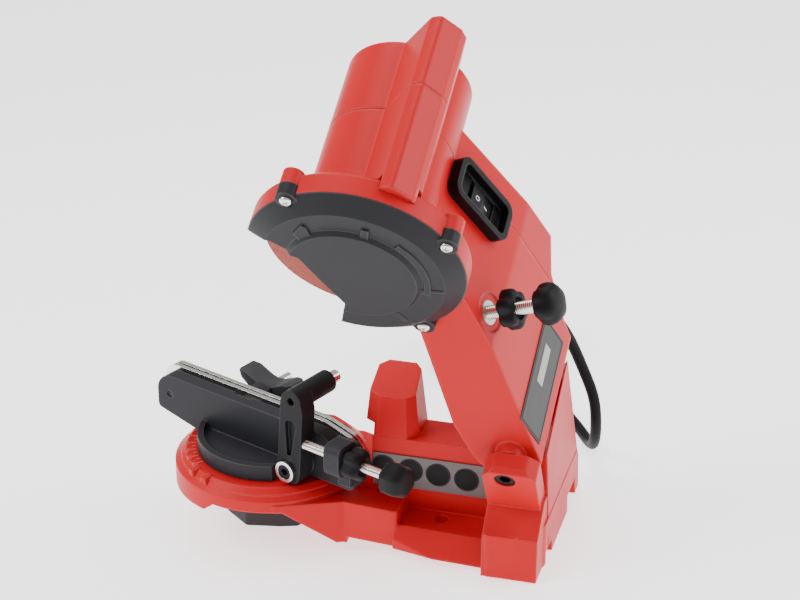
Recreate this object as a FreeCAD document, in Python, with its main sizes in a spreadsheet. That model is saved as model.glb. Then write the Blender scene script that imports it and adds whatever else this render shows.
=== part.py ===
import FreeCAD, Part
import math
import os
import re

# Bench chainsaw sharpener: a tilted grinding head on a hinged arm, a swivelling chain vise and a
# base that bolts to the edge of a bench. Millimetres, +Z up. The origin is midway between the two
# bench bolts, on the face that stands on the bench. +X runs along the base to the arm's hinge.
#
# Three frames carry the pieces:
#   base frame  origin under the vise's swivel axis, on the bench face
#   vise frame  the same origin, turned about Z, its X along the chain rails
#   head frame  X as above, Y up the wheel's plane, Z along the wheel's axis, towards its cover

doc = FreeCAD.newDocument("ChainSharpener")
sheet = doc.addObject("Spreadsheet::Sheet", "Sizes")
values = {}
nodes = []
V = FreeCAD.Vector


def size(alias, value):
    """Write one driving value to the sheet and give it back."""
    values[alias] = value
    cell = "A%d" % len(values)
    sheet.set(cell, str(value))
    sheet.setAlias(cell, alias)
    return value


# ---- driving values ------------------------------------------------------------------------------

play = size("play", 0.3)                       # gap between curved faces of different bodies
run_fit = size("run_fit", 0.05)                # running clearance of a shaft in its bore

vise_back = size("vise_back", 115.0)           # vise axis to the line of the bench bolts
head_tilt = size("head_tilt", 30.0)            # lean of the wheel's plane from upright
head_y = size("head_y", -15.1)
head_z = size("head_z", 71.2)
head_x = size("head_x", 4.2)
vise_turn = size("vise_turn", 22.0)            # rails turned from the base's length, at rest

wheel_radius = size("wheel_radius", 54.0)
wheel_thick = size("wheel_thick", 3.2)
wheel_level = size("wheel_level", -10.9)       # middle of the wheel along the head's axis
wheel_x = size("wheel_x", 79.6)
wheel_y = size("wheel_y", 158.7)
shaft_radius = size("shaft_radius", 4.0)
hinge_x = size("hinge_x", 156.3)
hinge_y = size("hinge_y", 17.6)
hinge_radius = size("hinge_radius", 4.0)

guard_radius = size("guard_radius", 61.0)
guard_wall = size("guard_wall", 3.0)
guard_back = size("guard_back", -17.0)
guard_seam = size("guard_seam", 0.0)
guard_round = size("guard_round", 5.0)         # bevel round the guard's back
cover_slope = size("cover_slope", 10.5)        # how far the cover's shoulder stands in from its rim
cover_shoulder = size("cover_shoulder", 7.5)   # height of the shoulder over the seam
plateau_radius = size("plateau_radius", 38.0)
plateau_rise = size("plateau_rise", 2.5)
ear_radius = size("ear_radius", 6.2)
ear_ring = size("ear_ring", 60.2)
ear_split = size("ear_split", 5.5)             # the cover's ears reach this far back over the guard
cover_screw_radius = size("cover_screw_radius", 2.0)

barrel_radius = size("barrel_radius", 36.2)
shell_wall = size("shell_wall", 3.0)
seam_level = size("seam_level", -77.0)         # joint between arm housing and rear cap
seam_gap = size("seam_gap", 0.4)
barrel_end = size("barrel_end", -125.5)
stator_radius = size("stator_radius", 32.9)
rotor_radius = size("rotor_radius", 20.5)
bearing_radius = size("bearing_radius", 11.0)
bearing_width = size("bearing_width", 7.0)

cheek_inner = size("cheek_inner", 29.0)
cheek_thick = size("cheek_thick", 13.0)
cheek_top = size("cheek_top", 9.0)             # near cheek above the hinge's axis
far_cheek_inner = size("far_cheek_inner", 31.0)
far_cheek_radius = size("far_cheek_radius", 11.5)
far_cheek_thick = size("far_cheek_thick", 11.0)

disc_radius = size("disc_radius", 46.0)
disc_floor = size("disc_floor", 32.9)
disc_height = size("disc_height", 10.0)
base_top = size("base_top", 32.5)
base_radius = size("base_radius", 60.0)
base_wall = size("base_wall", 3.5)
flange_height = size("flange_height", 14.0)
bolt_half = size("bolt_half", 28.0)            # bench bolts stand this far each side of X
bolt_hole = size("bolt_hole", 4.5)
ledge_height = size("ledge_height", 60.0)
lip_depth = size("lip_depth", 4.0)
lip_x = size("lip_x", 60.0)

rail_thick = size("rail_thick", 3.0)
chain_slot = size("chain_slot", 1.4)           # gap between the two rails
rail_top = size("rail_top", 65.4)
jaw_thick = size("jaw_thick", 13.0)
jaw_top = size("jaw_top", 65.0)
jaw_channel = size("jaw_channel", 3.6)
rail_screw_radius = size("rail_screw_radius", 2.4)
lever_thick = size("lever_thick", 12.0)
lever_stand = size("lever_stand", 3.4)         # boss that holds the lever off the near jaw
lever_foot_x = size("lever_foot_x", 39.0)
lever_foot_z = size("lever_foot_z", 42.2)
lever_head_x = size("lever_head_x", 43.5)
lever_head_z = size("lever_head_z", 90.2)
pin_radius = size("pin_radius", 4.0)
rod_radius = size("rod_radius", 3.0)
rod_x = size("rod_x", 50.8)                    # tip of the adjusting screw, against the lever
rod_y = size("rod_y", -28.8)
rod_z = size("rod_z", 62.6)

depth_angle = size("depth_angle", 24.4)        # depth screw's rise from X, in the head frame
depth_x = size("depth_x", 142.9)
depth_y = size("depth_y", 98.0)
depth_level = size("depth_level", -18.0)
depth_radius = size("depth_radius", 4.0)
knob_radius = size("knob_radius", 11.8)
pivot_radius = size("pivot_radius", 1.2)       # pin that the switch rocker tips on
pivot_drop = size("pivot_drop", -1.5)

cord_radius = size("cord_radius", 3.5)
gland_radius = size("gland_radius", 9.5)
grommet_radius = size("grommet_radius", 6.6)    # ball on the cord inside the gland
gland_level = size("gland_level", -64.8)       # where the hinge's axis leaves the arm's far face
coil_radius = size("coil_radius", 35.0)
coil_round = size("coil_round", 10.0)
swing_radius = size("swing_radius", 19.4)      # what the arm's lower end sweeps about the hinge
wall_top = size("wall_top", 11.3)
jaw_screw_x = size("jaw_screw_x", -25.0)
jaw_screw_z = size("jaw_screw_z", 52.5)
clamp_wing = size("clamp_wing", 18.5)
lock_radius = size("lock_radius", 10.0)         # knob that locks the adjusting screw
web_depth = size("web_depth", 10.0)            # web that carries the clamp boss


# ---- helpers -------------------------------------------------------------------------------------

def bind(thing, **links):
    """Tie properties to the sheet: bind(thing, Radius="wheel_radius - 1")."""
    for prop, text in links.items():
        words = re.sub(r"[a-z_]\w+", lambda w: ("Sizes." if w.group() in values else "") + w.group(), text)
        thing.setExpression(prop.replace("__", "."), words)
    return thing


def spot(x, y, z, axis=(0, 0, 1)):
    """A placement at a point, its Z along the axis."""
    return FreeCAD.Placement(V(x, y, z), FreeCAD.Rotation(V(0, 0, 1), V(*axis)))


def cylinder(name, radius, height, place):
    thing = doc.addObject("Part::Cylinder", name)
    bind(thing, Radius=radius, Height=height)
    thing.Placement = place
    return thing


def cone(name, low, high, height, place):
    thing = doc.addObject("Part::Cone", name)
    bind(thing, Radius1=low, Radius2=high, Height=height)
    thing.Placement = place
    return thing


def block(name, length, width, height, place):
    thing = doc.addObject("Part::Box", name)
    bind(thing, Length=length, Width=width, Height=height)
    thing.Placement = place
    return thing


def outline_edges(points, rounds):
    """Lines through the points, with an arc of the given radius at each corner."""
    count = len(points)
    ends = []
    edges = []
    for i in range(count):
        here = V(*points[i], 0)
        into = (here - V(*points[i - 1], 0)).normalize()
        away = (V(*points[(i + 1) % count], 0) - here).normalize()
        turn = math.acos(max(-1.0, min(1.0, into.dot(away))))
        reach = rounds[i] * math.tan(turn / 2)
        ends.append((here - into * reach, here, here + away * reach))
        if rounds[i]:
            bow = (away - into).normalize() * (rounds[i] / math.cos(turn / 2) - rounds[i])
            edges.append(Part.Arc(ends[-1][0], here + bow, ends[-1][2]))
    for i in range(count):
        edges.append(Part.LineSegment(ends[i - 1][2], ends[i][0]))
    return edges


def prism(name, points, height, place, rounds=0.0, taper=0.0):
    """A padded outline; rounds is one radius or one for each corner."""
    if not isinstance(rounds, (list, tuple)):
        rounds = [rounds] * len(points)
    body = doc.addObject("PartDesign::Body", name)
    sketch = body.newObject("Sketcher::SketchObject", name + "Outline")
    floor = [f for f in body.Origin.OriginFeatures if f.Role == "XY_Plane"][0]
    sketch.AttachmentSupport = [(floor, "")]
    sketch.MapMode = "FlatFace"
    sketch.addGeometry(outline_edges(points, rounds))
    pad = body.newObject("PartDesign::Pad", name + "Pad")
    pad.Profile = sketch
    bind(pad, Length=height)
    if taper:
        pad.TaperAngle = taper
    body.Placement = place
    return body


def fused(name, *parts):
    thing = doc.addObject("Part::MultiFuse", name)
    thing.Shapes = list(parts)
    return thing


def cut(name, solid, *tools):
    for i, tool in enumerate(tools):
        last = i == len(tools) - 1
        step = doc.addObject("Part::Cut", name if last else "%s_step%d" % (name, i))
        step.Base = solid
        step.Tool = tool
        solid = step
    return solid


def common(name, solid, tool):
    thing = doc.addObject("Part::Common", name)
    thing.Base = solid
    thing.Tool = tool
    return thing


def node(thing, label, frame):
    """Name a finished sub-part and stand it in its frame."""
    thing.Label = label
    thing.Placement = frame.multiply(thing.Placement)
    nodes.append(thing)
    return thing


BASE = FreeCAD.Placement(V(-vise_back, 0, 0), FreeCAD.Rotation())
VISE = FreeCAD.Placement(V(-vise_back, 0, 0), FreeCAD.Rotation(V(0, 0, 1), -vise_turn))
HEAD = FreeCAD.Placement(V(head_x - vise_back, head_y, head_z),
                         FreeCAD.Rotation(V(1, 0, 0), 90 + head_tilt))
HEAD_IN_BASE = BASE.inverse().multiply(HEAD)
FAR = 300.0                                    # longer than any piece, for tools that cut through


def upright(y):
    """A frame whose XY plane stands along X, its Z towards the viewer's side."""
    return FreeCAD.Placement(V(0, y, 0), FreeCAD.Rotation(V(1, 0, 0), 90))


def sideways(x):
    """A frame at x whose X runs along Y and whose Y runs up."""
    return FreeCAD.Placement(V(x, 0, 0), FreeCAD.Rotation(V(1, 1, 1), 120))


def through(name, radius, x, y):
    """A long tool along Z for a bore."""
    return cylinder(name, radius, "600", spot(x, y, -FAR))


# ---- base casting --------------------------------------------------------------------------------

def mirrored(points):
    """A near outline, given at negative Y, closed by its image across X."""
    return points + [(x, -y) for x, y in reversed(points)]


def flange_slopes():
    """The flange's long walls lean out towards the bench."""
    tools = []
    for i, side in enumerate((-1, 1)):
        out = V(-0.04, 0.832 * side, 0.553).normalize()
        run = V(1, 0.048 * side, 0).normalize()
        place = FreeCAD.Placement(V(60, 39.8 * side, flange_height), FreeCAD.Rotation(run, out.cross(run), out, "XYZ"))
        tool = block("FlangeSlope%d" % i, "100", "60", "30", place.multiply(spot(0, -30, 0)))
        tools.append(tool)
    return tools


def base_casting():
    rim = cylinder("BaseRim", "base_radius", "26 + lip_depth", spot(0, 0, -lip_depth))
    crown = cone("BaseCrown", "base_radius", "base_radius - 7", "base_top - 26", spot(0, 0, 26))
    neck = prism("BaseNeck", mirrored([(0, -59), (21, -57), (58, -41), (92, -44)]),
                 "24 + lip_depth", spot(0, 0, -lip_depth), 2.0)
    flange = cut("FlangeSides", prism("BaseFlange", mirrored([(90, -46.3), (136, -56), (152, -64)]),
                                      "flange_height", spot(0, 0, 0)), *flange_slopes())
    foot = prism("BaseFoot", [(147, -40), (149, -61.5), (167, -60.5), (178.5, -51.5), (181.5, -40), (181.5, 52),
                              (172, 57.5), (150, 57.5), (147, 50)], "28", spot(0, 0, 0), 3.0)
    ledge = block("BaseLedge", "90", "28", "ledge_height", spot(60, -20, 0))
    ledge_arc = cylinder("LedgeArc", "disc_radius + 27", "60", spot(0, 0, base_top + 0.5))
    ledge_shape = cut("LedgeShape", ledge, ledge_arc)
    stop = prism("StopBlock", [(73, -20), (91, -20), (98, -14), (98, 6), (92, 12), (72, 12),
                               (64, 6), (64, -14)], "45", spot(0, 0, ledge_height - 1), taper=-6.0)
    slope = block("StopSlope", "80", "80", "60", FreeCAD.Placement(
        V(40, -14.5, 86.2), FreeCAD.Rotation(V(1, 0, 0), 27)))
    slope_front = block("StopSlopeFront", "80", "40", "60", spot(40, -54.5, 86.2))
    stop_arc = cylinder("StopArc", "disc_radius + 27", "rail_top - 31", spot(0, 0, base_top + 0.5))
    stop_shape = cut("StopShape", stop, slope, slope_front, stop_arc)

    # the near tower: an upright cheek that flares into the foot
    near = prism("NearCheek", [(hinge_x - 13, -120), (hinge_x + 18.5, -120), (hinge_x + 18.5, hinge_y + 4),
                               (hinge_x + 12, hinge_y + cheek_top), (hinge_x - 7, hinge_y + cheek_top),
                               (hinge_x - 13, hinge_y + 3)], "cheek_thick", spot(0, 0, cheek_inner),
                 [0, 0, 3, 5, 6, 6])
    far = block("FarCheek", "2 * far_cheek_radius", "140", "far_cheek_thick",
                spot(hinge_x - far_cheek_radius, hinge_y - 140, -far_cheek_inner - far_cheek_thick))
    far_top = cylinder("FarCheekTop", "far_cheek_radius", "far_cheek_thick",
                       spot(hinge_x, hinge_y, -far_cheek_inner - far_cheek_thick))
    # the near cheek's top leans back towards the arm
    shoulder = block("CheekShoulder", "80", "40", "20", FreeCAD.Placement(
        V(hinge_x - 40, hinge_y + 2.8, cheek_inner + cheek_thick + 9), FreeCAD.Rotation(V(1, 0, 0), -64)))
    tower = fused("Tower", cut("NearCheekShape", near, shoulder), far, far_top)
    tower.Placement = HEAD_IN_BASE
    flare = prism("TowerFlare", [(-20, 0), (-61, 0), (-59.5, 27), (-42, 44), (-20, 44)], "33",
                  sideways(147.5))
    wall = prism("RearWall", [(-30, 0), (-37, 84), (20, 108), (52, 30), (57, 22), (57, 0)], "6",
                 sideways(176.0), [0, 0, 0, 6, 3, 0])
    draft = block("WallDraft", "20", "200", "200", FreeCAD.Placement(
        V(182, -100, 0), FreeCAD.Rotation(V(0, 1, 0), -1.6)))
    above = block("WallAbove", "400", "200", "400", spot(0, wall_top, -200))
    sweep = cylinder("WallSweep", "swing_radius", "cheek_inner + 60 - play", spot(hinge_x, hinge_y, -60))
    head_room = fused("HeadRoom", above, sweep)
    head_room.Placement = HEAD_IN_BASE
    wall_shape = cut("WallShape", wall, draft, head_room)
    outside = block("BeyondFoot", "200", "200", "300", spot(100, 57.5, -100))
    under = block("UnderBench", "200", "400", "100", spot(100, -200, -100))
    tower_shape = cut("TowerShape", fused("TowerAll", tower, flare), outside, under)
    solid = fused("BaseSolid", rim, crown, neck, flange, foot, ledge_shape, stop_shape, tower_shape, wall_shape)

    # hollows, open below
    well = cylinder("FrontWell", "base_radius - base_wall", "60", spot(0, 0, base_top - base_wall - 60))
    hub = cylinder("FrontHub", "15", "80", spot(0, 0, -30))
    front_well = cut("FrontWellShape", well, hub)
    neck_well = prism("NeckWell", mirrored([(20, -50), (56, -36), (88, -38)]), "70",
                      spot(0, 0, 24 - base_wall - 70))
    bosses = [cylinder("BoltBoss%d" % i, "bolt_hole + 5", "80", spot(vise_back, side * bolt_half, -40))
              for i, side in enumerate((-1, 1))]
    flange_well = cut("FlangeWellShape", prism(
        "FlangeWell", mirrored([(88, -37), (106, -37.5), (120, -38.5), (140, -39.5)]), "50",
        spot(0, 0, flange_height - base_wall - 50)), *bosses)
    ledge_well = block("LedgeWell", "70", "28 - 2 * base_wall", "100",
                       spot(76, -20 + base_wall, ledge_height - base_wall - 100))
    rear_well = block("RearWell", "24", "96", "80", spot(151, -54, 28 - base_wall - 80))
    hub_foot = cylinder("HubFoot", "20", "40", spot(0, 0, 14 - 40))

    # the lower edge: raised at the front, a hooked lip at the bench's edge, flat behind it
    low_edge = prism("LowEdge", [(-90, -60), (-90, 11), (-26, 13), (-19, 19), (24, 19),
                                 (lip_x - 6, -lip_depth), (lip_x, -lip_depth), (lip_x, 0),
                                 (lip_x + 40, 0), (lip_x + 40, -60)], "200", upright(100))
    arches = [block("RearArch%d" % i, "20", width, height, spot(170, y, -1))
              for i, (y, width, height) in enumerate(((-38, "15", "9"), (23.4, "22.6", "12")))]
    stud_bore = through("StudBore", "rod_radius + 2.3", 0, 0)
    bores = [through("BenchBore%d" % i, "bolt_hole", vise_back, side * bolt_half)
             for i, side in enumerate((-1, 1))]
    pin_bore = cylinder("HingeBore", "hinge_radius + run_fit", "300", spot(hinge_x, hinge_y, -150))
    head_seat = cylinder("HingeSeat", "6.4", "20", spot(hinge_x, hinge_y, cheek_inner + cheek_thick - 5))
    nut_seat = cylinder("HingeNutSeat", "8", "20",
                        spot(hinge_x, hinge_y, -far_cheek_inner - far_cheek_thick - 20 + 4))
    hinge_tools = fused("HingeTools", pin_bore, head_seat, nut_seat)
    hinge_tools.Placement = HEAD_IN_BASE
    far_flat = block("FarFlat", "150", "40", "60", spot(-70, 46, -10))
    shape = cut("BaseShape", solid, far_flat, front_well, neck_well, flange_well, ledge_well, rear_well,
                hub_foot, low_edge, *arches, stud_bore, *bores, hinge_tools)
    node(shape, "base_casting", BASE)


def hinge_hardware():
    head_z0 = cheek_inner + cheek_thick - 5
    rod = cylinder("HingeRod", "hinge_radius", "cheek_inner + far_cheek_inner + cheek_thick + far_cheek_thick - 5",
                   spot(hinge_x, hinge_y, -far_cheek_inner - far_cheek_thick))
    head = cylinder("HingeHead", "6.2", "4", spot(hinge_x, hinge_y, head_z0))
    socket = prism("HingeSocket", hexagon(3.0), "6", spot(hinge_x, hinge_y, head_z0 + 1.5))
    node(cut("HingeBoltShape", fused("HingeBoltBody", rod, head), socket), "hinge_bolt", HEAD)
    nut_low = -far_cheek_inner - far_cheek_thick - 2
    nut = prism("HingeNutBody", hexagon(6.5), "6", spot(hinge_x, hinge_y, nut_low))
    bore = cylinder("HingeNutBore", "hinge_radius", "20", spot(hinge_x, hinge_y, nut_low - 5))
    node(cut("HingeNutShape", nut, bore), "hinge_nut", HEAD)


def hexagon(half_flats):
    reach = half_flats / math.cos(math.pi / 6)
    return [(reach * math.cos(math.pi / 3 * i), reach * math.sin(math.pi / 3 * i)) for i in range(6)]


def pictogram_strip():
    plate = block("StripPlate", "70", "1", "21.5", spot(71, -21, 28))
    node(plate, "pictogram_strip", BASE)


# ---- swivel stud and its knob under the base -----------------------------------------------------

def swivel_hardware():
    stud = cylinder("StudRod", "rod_radius + 2", "50", spot(0, 0, disc_floor + 4 - 50))
    node(stud, "swivel_stud", BASE)
    hub = cylinder("SwivelHub", "11", "16", spot(0, 0, -5))
    grip = prism("SwivelGrip", [(-30, -5), (-11.5, -20), (20, -14), (30, 4), (12, 20), (-20, 15)], "12",
                 spot(0, 0, -16), 3.0)
    bore = cylinder("SwivelBore", "rod_radius + 2", "60", spot(0, 0, disc_floor + 4 - 50))
    node(cut("SwivelKnobShape", fused("SwivelKnobBody", hub, grip), bore), "swivel_knob", BASE)
    washer = cylinder("SwivelWasherDisc", "12", "2", spot(0, 0, 11.5))
    hole = through("SwivelWasherHole", "rod_radius + 2 + run_fit", 0, 0)
    node(cut("SwivelWasherShape", washer, hole), "swivel_washer", BASE)


# ---- vise ----------------------------------------------------------------------------------------

slot_half = chain_slot / 2
rail_out = slot_half + rail_thick
near_face = -(rail_out + jaw_thick)
lever_face = near_face - lever_stand - play
clamp_x = rod_x + 21.5                         # boss that the adjusting screw is threaded through
disc_top = disc_floor + disc_height


def turntable():
    disc = cylinder("TurnDisc", "disc_radius", "disc_height", spot(0, 0, disc_floor))
    step = block("DiscStep", "120", "60", "20", spot(-60, 20.5, disc_floor - 1))
    moon = cylinder("MoonPocket", "disc_radius - 4", "20", spot(0, 0, disc_top - 4))
    moon_side = block("MoonSide", "150", "100", "40", spot(-75, near_face, disc_floor - 5))
    moon_shape = cut("MoonShape", moon, moon_side)
    plate = prism("JawPlate", [(-79.5, 41), (-79.5, jaw_top), (54, jaw_top), (66, 57), (76, 47),
                               (78, 34), (-46, 34)], "jaw_thick", upright(-rail_out),
                  [3, 12, 12, 8, 8, 4, 6])
    # a channel beside the rail lets the chain's side links pass, wider over the clamp screw
    channel = block("JawChannel", "160", "jaw_channel", "20", spot(-90, -rail_out - jaw_channel, jaw_top - 3.5))
    notch = block("JawNotch", "14", "jaw_channel + 2.5", "20",
                  spot(-22, -rail_out - jaw_channel - 2.5, jaw_top - 3.5))
    clamp = prism("ClampBoss", [(-11, -9), (-11, 9), (9.5, 9), (9.5, -9)], "11",
                  spot(clamp_x, rod_y, rod_z, (1, 0, 0)), 5.0)
    web = block("ClampWeb", "9", "web_depth", "27", spot(clamp_x, near_face + 2 - web_depth, rod_z - 21))
    lever_room = block("LeverRoom", "60", "60", "20", spot(29.5, lever_face - 60 + play, disc_floor - 5))
    pivot_boss = cylinder("PivotBoss", "8", "lever_stand", spot(lever_foot_x, near_face, lever_foot_z, (0, -1, 0)))
    solid = fused("TurnSolid", cut("TurnDiscShape", disc, step, moon_shape, lever_room),
                  cut("JawPlateShape", plate, channel, notch), clamp, web, pivot_boss)
    rod_bore = cylinder("RodBore", "rod_radius + run_fit", "60", spot(rod_x, rod_y, rod_z, (1, 0, 0)))
    stud_bore = cylinder("TurnStudBore", "rod_radius + 2 + run_fit", "30", spot(0, 0, disc_floor - 10))
    screw_bore = cylinder("ClampBore", "rod_radius", "20", spot(jaw_screw_x, -rail_out - 8, jaw_screw_z, (0, 1, 0)))
    lever_bore = cylinder("LeverBoltBore", "3", "8 + lever_stand", spot(lever_foot_x, lever_face, lever_foot_z, (0, 1, 0)))
    tip_bore = cylinder("TipBore", "rail_screw_radius", "8", spot(-69.5, near_face - 1, 52, (0, 1, 0)))
    node(cut("TurntableShape", solid, rod_bore, stud_bore, screw_bore, lever_bore, tip_bore),
         "turntable", VISE)


def rail(name, label, y):
    body = prism(name, [(-85, 50), (-85, rail_top), (44, rail_top), (66, 60), (75, 50),
                        (72, 45), (62, 51), (50, 50)], "rail_thick", upright(y),
                 [1, 11, 24, 12, 2, 2, 10, 10])
    hole = cylinder(name + "ScrewHole", "rod_radius + run_fit", "60",
                    spot(jaw_screw_x, -30, jaw_screw_z, (0, 1, 0)))
    node(cut(name + "Shape", body, hole), label, VISE)


def far_jaw():
    plate = prism("FarJawPlate", [(-77, 44), (-77, 51), (-70, 57), (50, 57), (58, 50), (56, 44)],
                  "jaw_thick - 4", upright(rail_out + jaw_thick - 4), [2, 5, 8, 8, 4, 2])
    spacer = cylinder("FarJawSpacer", "7", "9", spot(jaw_screw_x, rail_out + jaw_thick - 5, jaw_screw_z, (0, 1, 0)))
    bore = cylinder("FarJawBore", "rod_radius + run_fit", "60", spot(jaw_screw_x, 0, jaw_screw_z, (0, 1, 0)))
    node(cut("FarJawShape", fused("FarJawSolid", plate, spacer), bore), "far_jaw", VISE)


def clamp_hardware():
    knob_y = rail_out + jaw_thick + 4 + play
    screw = cylinder("ClampRod", "rod_radius", "58", spot(jaw_screw_x, -rail_out - 8, jaw_screw_z, (0, 1, 0)))
    node(screw, "clamp_screw", VISE)
    hub = cylinder("ClampHub", "8", "17", spot(jaw_screw_x, knob_y, jaw_screw_z, (0, 1, 0)))
    wings = []
    for i, lean in enumerate((14, 166, 194, 346)):
        turn = FreeCAD.Placement(V(jaw_screw_x, knob_y, jaw_screw_z), FreeCAD.Rotation(V(0, 1, 0), lean))
        wings.append(block("ClampWing%d" % i, "clamp_wing", "15", "8", turn.multiply(spot(0, 1, -4))))
    bore = cylinder("ClampKnobBore", "rod_radius + run_fit", "60", spot(jaw_screw_x, 0, jaw_screw_z, (0, 1, 0)))
    node(cut("ClampKnobShape", fused("ClampKnobBody", hub, *wings), bore), "clamp_knob", VISE)
    tip = cylinder("TipScrewBody", "rail_screw_radius", "5", spot(-69.5, near_face + 0.6, 52, (0, 1, 0)))
    node(tip, "rail_screw", VISE)


def at_foot(y, axis=(0, -1, 0)):
    return spot(lever_foot_x, y, lever_foot_z, axis)


def at_head(y, axis=(0, -1, 0)):
    return spot(lever_head_x, y, lever_head_z, axis)


def stop_lever():
    outer = lever_face - lever_thick
    lean = [(lever_foot_x - 7, lever_foot_z), (lever_foot_x - 4, lever_foot_z - 7),
            (lever_foot_x + 8, lever_foot_z - 7), (lever_foot_x + 10, lever_foot_z),
            (lever_head_x + 8.5, lever_head_z - 6), (lever_head_x + 6, lever_head_z + 6),
            (lever_head_x - 5.5, lever_head_z + 6), (lever_head_x - 8, lever_head_z - 2)]
    arm = prism("LeverArm", lean, "lever_thick", upright(lever_face), [6, 4, 4, 6, 6, 5, 5, 6])
    boss = cylinder("LeverBoss", "7", "34", at_head(outer + 34))
    slot = prism("LeverSlot",
                 [(lever_foot_x + 0.5, lever_foot_z + 11), (lever_foot_x + 3.5, lever_foot_z + 11),
                  (lever_head_x + 4.2, lever_head_z - 13), (lever_head_x - 5, lever_head_z - 13)],
                 "4", upright(outer + 3), [1.2, 1.2, 3, 3])
    bolt_bore = cylinder("LeverBore", "4 + run_fit", "40", at_foot(outer - 10, (0, 1, 0)))
    hex_seat = prism("LeverHex", hexagon(2.6), "5", at_head(outer - 1, (0, 1, 0)))
    pin_bore = cylinder("LeverPinBore", "pin_radius - 1", "60", at_head(outer + 6, (0, 1, 0)))
    node(cut("StopLeverShape", fused("LeverSolid", arm, boss), slot, bolt_bore, hex_seat, pin_bore),
         "stop_lever", VISE)
    tip = cylinder("PinTip", "pin_radius", "8", at_head(outer + 34, (0, 1, 0)))
    tail = cylinder("PinTail", "pin_radius - 1", "28", at_head(outer + 6, (0, 1, 0)))
    node(fused("StopPinShape", tip, tail), "stop_pin", VISE)

    ring = cylinder("LeverRing", "6.8", "2", at_foot(outer - play))
    ring_bore = cylinder("LeverRingBore", "4.8", "10", at_foot(outer + 6))
    node(cut("LeverRingShape", ring, ring_bore), "lever_ring", VISE)
    shoulder = cylinder("LeverShoulder", "4", "lever_thick + play", at_foot(lever_face))
    stub = cylinder("LeverStub", "3", "8 + lever_stand", at_foot(lever_face + 8 + lever_stand))
    head = cylinder("LeverBoltHead", "4.8", "1.6", at_foot(outer - play))
    key = prism("LeverBoltKey", hexagon(2.0), "4", at_foot(outer - 3.2, (0, 1, 0)))
    node(cut("LeverBoltShape", fused("LeverBoltBody", shoulder, stub, head), key), "lever_bolt", VISE)


def lobed(name, radius, length, lobes, place, bore=None):
    """A knob with round lobes about its own axis."""
    core = cylinder(name + "Core", "%s * 0.8" % radius, length, FreeCAD.Placement())
    rods = [cylinder(name + "Lobe%d" % i, "%s * 0.3" % radius, length,
                     spot(0.7 * values[radius] * math.cos(2 * math.pi * i / lobes),
                          0.7 * values[radius] * math.sin(2 * math.pi * i / lobes), 0))
            for i in range(lobes)]
    body = fused(name + "Body", core, *rods)
    if bore:
        body = cut(name + "Shape", body, cylinder(name + "Hole", bore, "200", spot(0, 0, -100)))
    body.Placement = place
    return body


def adjuster():
    rod = cylinder("AdjustRod", "rod_radius", "64", spot(rod_x, rod_y, rod_z, (1, 0, 0)))
    node(rod, "adjust_screw", VISE)
    node(lobed("AdjustLock", "lock_radius", "12", 5, spot(clamp_x + 11 + play, rod_y, rod_z, (1, 0, 0)), "rod_radius + run_fit"),
         "adjust_lock_knob", VISE)
    grip = prism("AdjustGrip", hexagon(9.3), "16", spot(rod_x + 60, rod_y, rod_z, (1, 0, 0)), 2.5)
    bore = cylinder("AdjustGripBore", "rod_radius + run_fit", "20", spot(rod_x + 44, rod_y, rod_z, (1, 0, 0)))
    node(cut("AdjustGripShape", grip, bore), "adjust_knob", VISE)


# ---- arm and motor housing -----------------------------------------------------------------------

def inset(points, gap):
    """The outline moved inwards by a gap; the points run anticlockwise."""
    count = len(points)
    moved = []
    for i in range(count):
        a, b, c = (V(*points[(i + k) % count], 0) for k in (-1, 0, 1))
        one = (b - a).normalize()
        two = (c - b).normalize()
        left_one = V(-one.y, one.x, 0)
        left_two = V(-two.y, two.x, 0)
        middle = (left_one + left_two).normalize()
        reach = b + middle * (gap / middle.dot(left_one))
        moved.append((reach.x, reach.y))
    return moved


# seen along the hinge: back face at the right, from the hinge up to the motor
ARM_SIDE = [(166.5, 1.8), (174.5, 12.6), (147.5, 91), (108.5, 171), (79.6, 186), (58, 172), (70, 135), (98, 128),
            (107, 94), (123, 33), (134, 12), (141, 4), (150, 0.6)]
# seen along X, (height in the wheel's plane, level along the axis): a narrow upright foot that
# widens into the motor housing
ARM_EDGE = [(-3, 28.3), (4, 28.3), (91.6, 0), (144, -17), (150, -17), (210, -17), (210, -97),
            (60, -102), (50, -82), (28, -68), (12, -63), (-3, -60)]


def arm_volume(name, gap, corner):
    side = prism(name + "Side", inset(ARM_SIDE, gap), "160", spot(0, 0, -110),
                 [max(r - gap, 0.0) for r in corner])
    edge_points = [(y, z) for y, z in inset(list(reversed(ARM_EDGE)), gap)]
    frame = FreeCAD.Placement(V(60, 0, 0), FreeCAD.Rotation(V(0, 1, 0), V(0, 0, 1), V(1, 0, 0), "XYZ"))
    edge = prism(name + "Edge", edge_points, "120", frame)
    return common(name + "Common", side, edge)


SIDE_ROUNDS = [4, 4, 30, 10, 10, 5, 5, 5, 20, 8, 8, 5, 5]
RIB = [(80.5, 193), (100, 218.5), (106, 220.5), (116, 210.5), (118, 204), (111.5, 180), (100, 167)]
RIB_ROUNDS = [3.5, 4, 3, 3, 3, 3.5, 3.5]


def switch_place():
    """A frame on the back face: X down the face, Y along the axis, Z out of the face."""
    down = (V(*ARM_SIDE[2], 0) - V(*ARM_SIDE[3], 0)).normalize()
    out = V(-down.y, down.x, 0)
    along = V(0, 0, 1)
    centre = V(*ARM_SIDE[3], 0) + down * 43.2 + V(0, 0, -68.5)
    return FreeCAD.Placement(centre, FreeCAD.Rotation(down, along.negative(), out, "XYZ"))


def depth_place(reach):
    """A frame on the depth screw's axis, reach along it from the arm's face, Z outwards."""
    rise = math.radians(depth_angle)
    out = V(math.cos(rise), math.sin(rise), 0)
    origin = V(depth_x, depth_y, depth_level) + out * reach
    return FreeCAD.Placement(origin, FreeCAD.Rotation(V(0, 0, 1), out))


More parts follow.
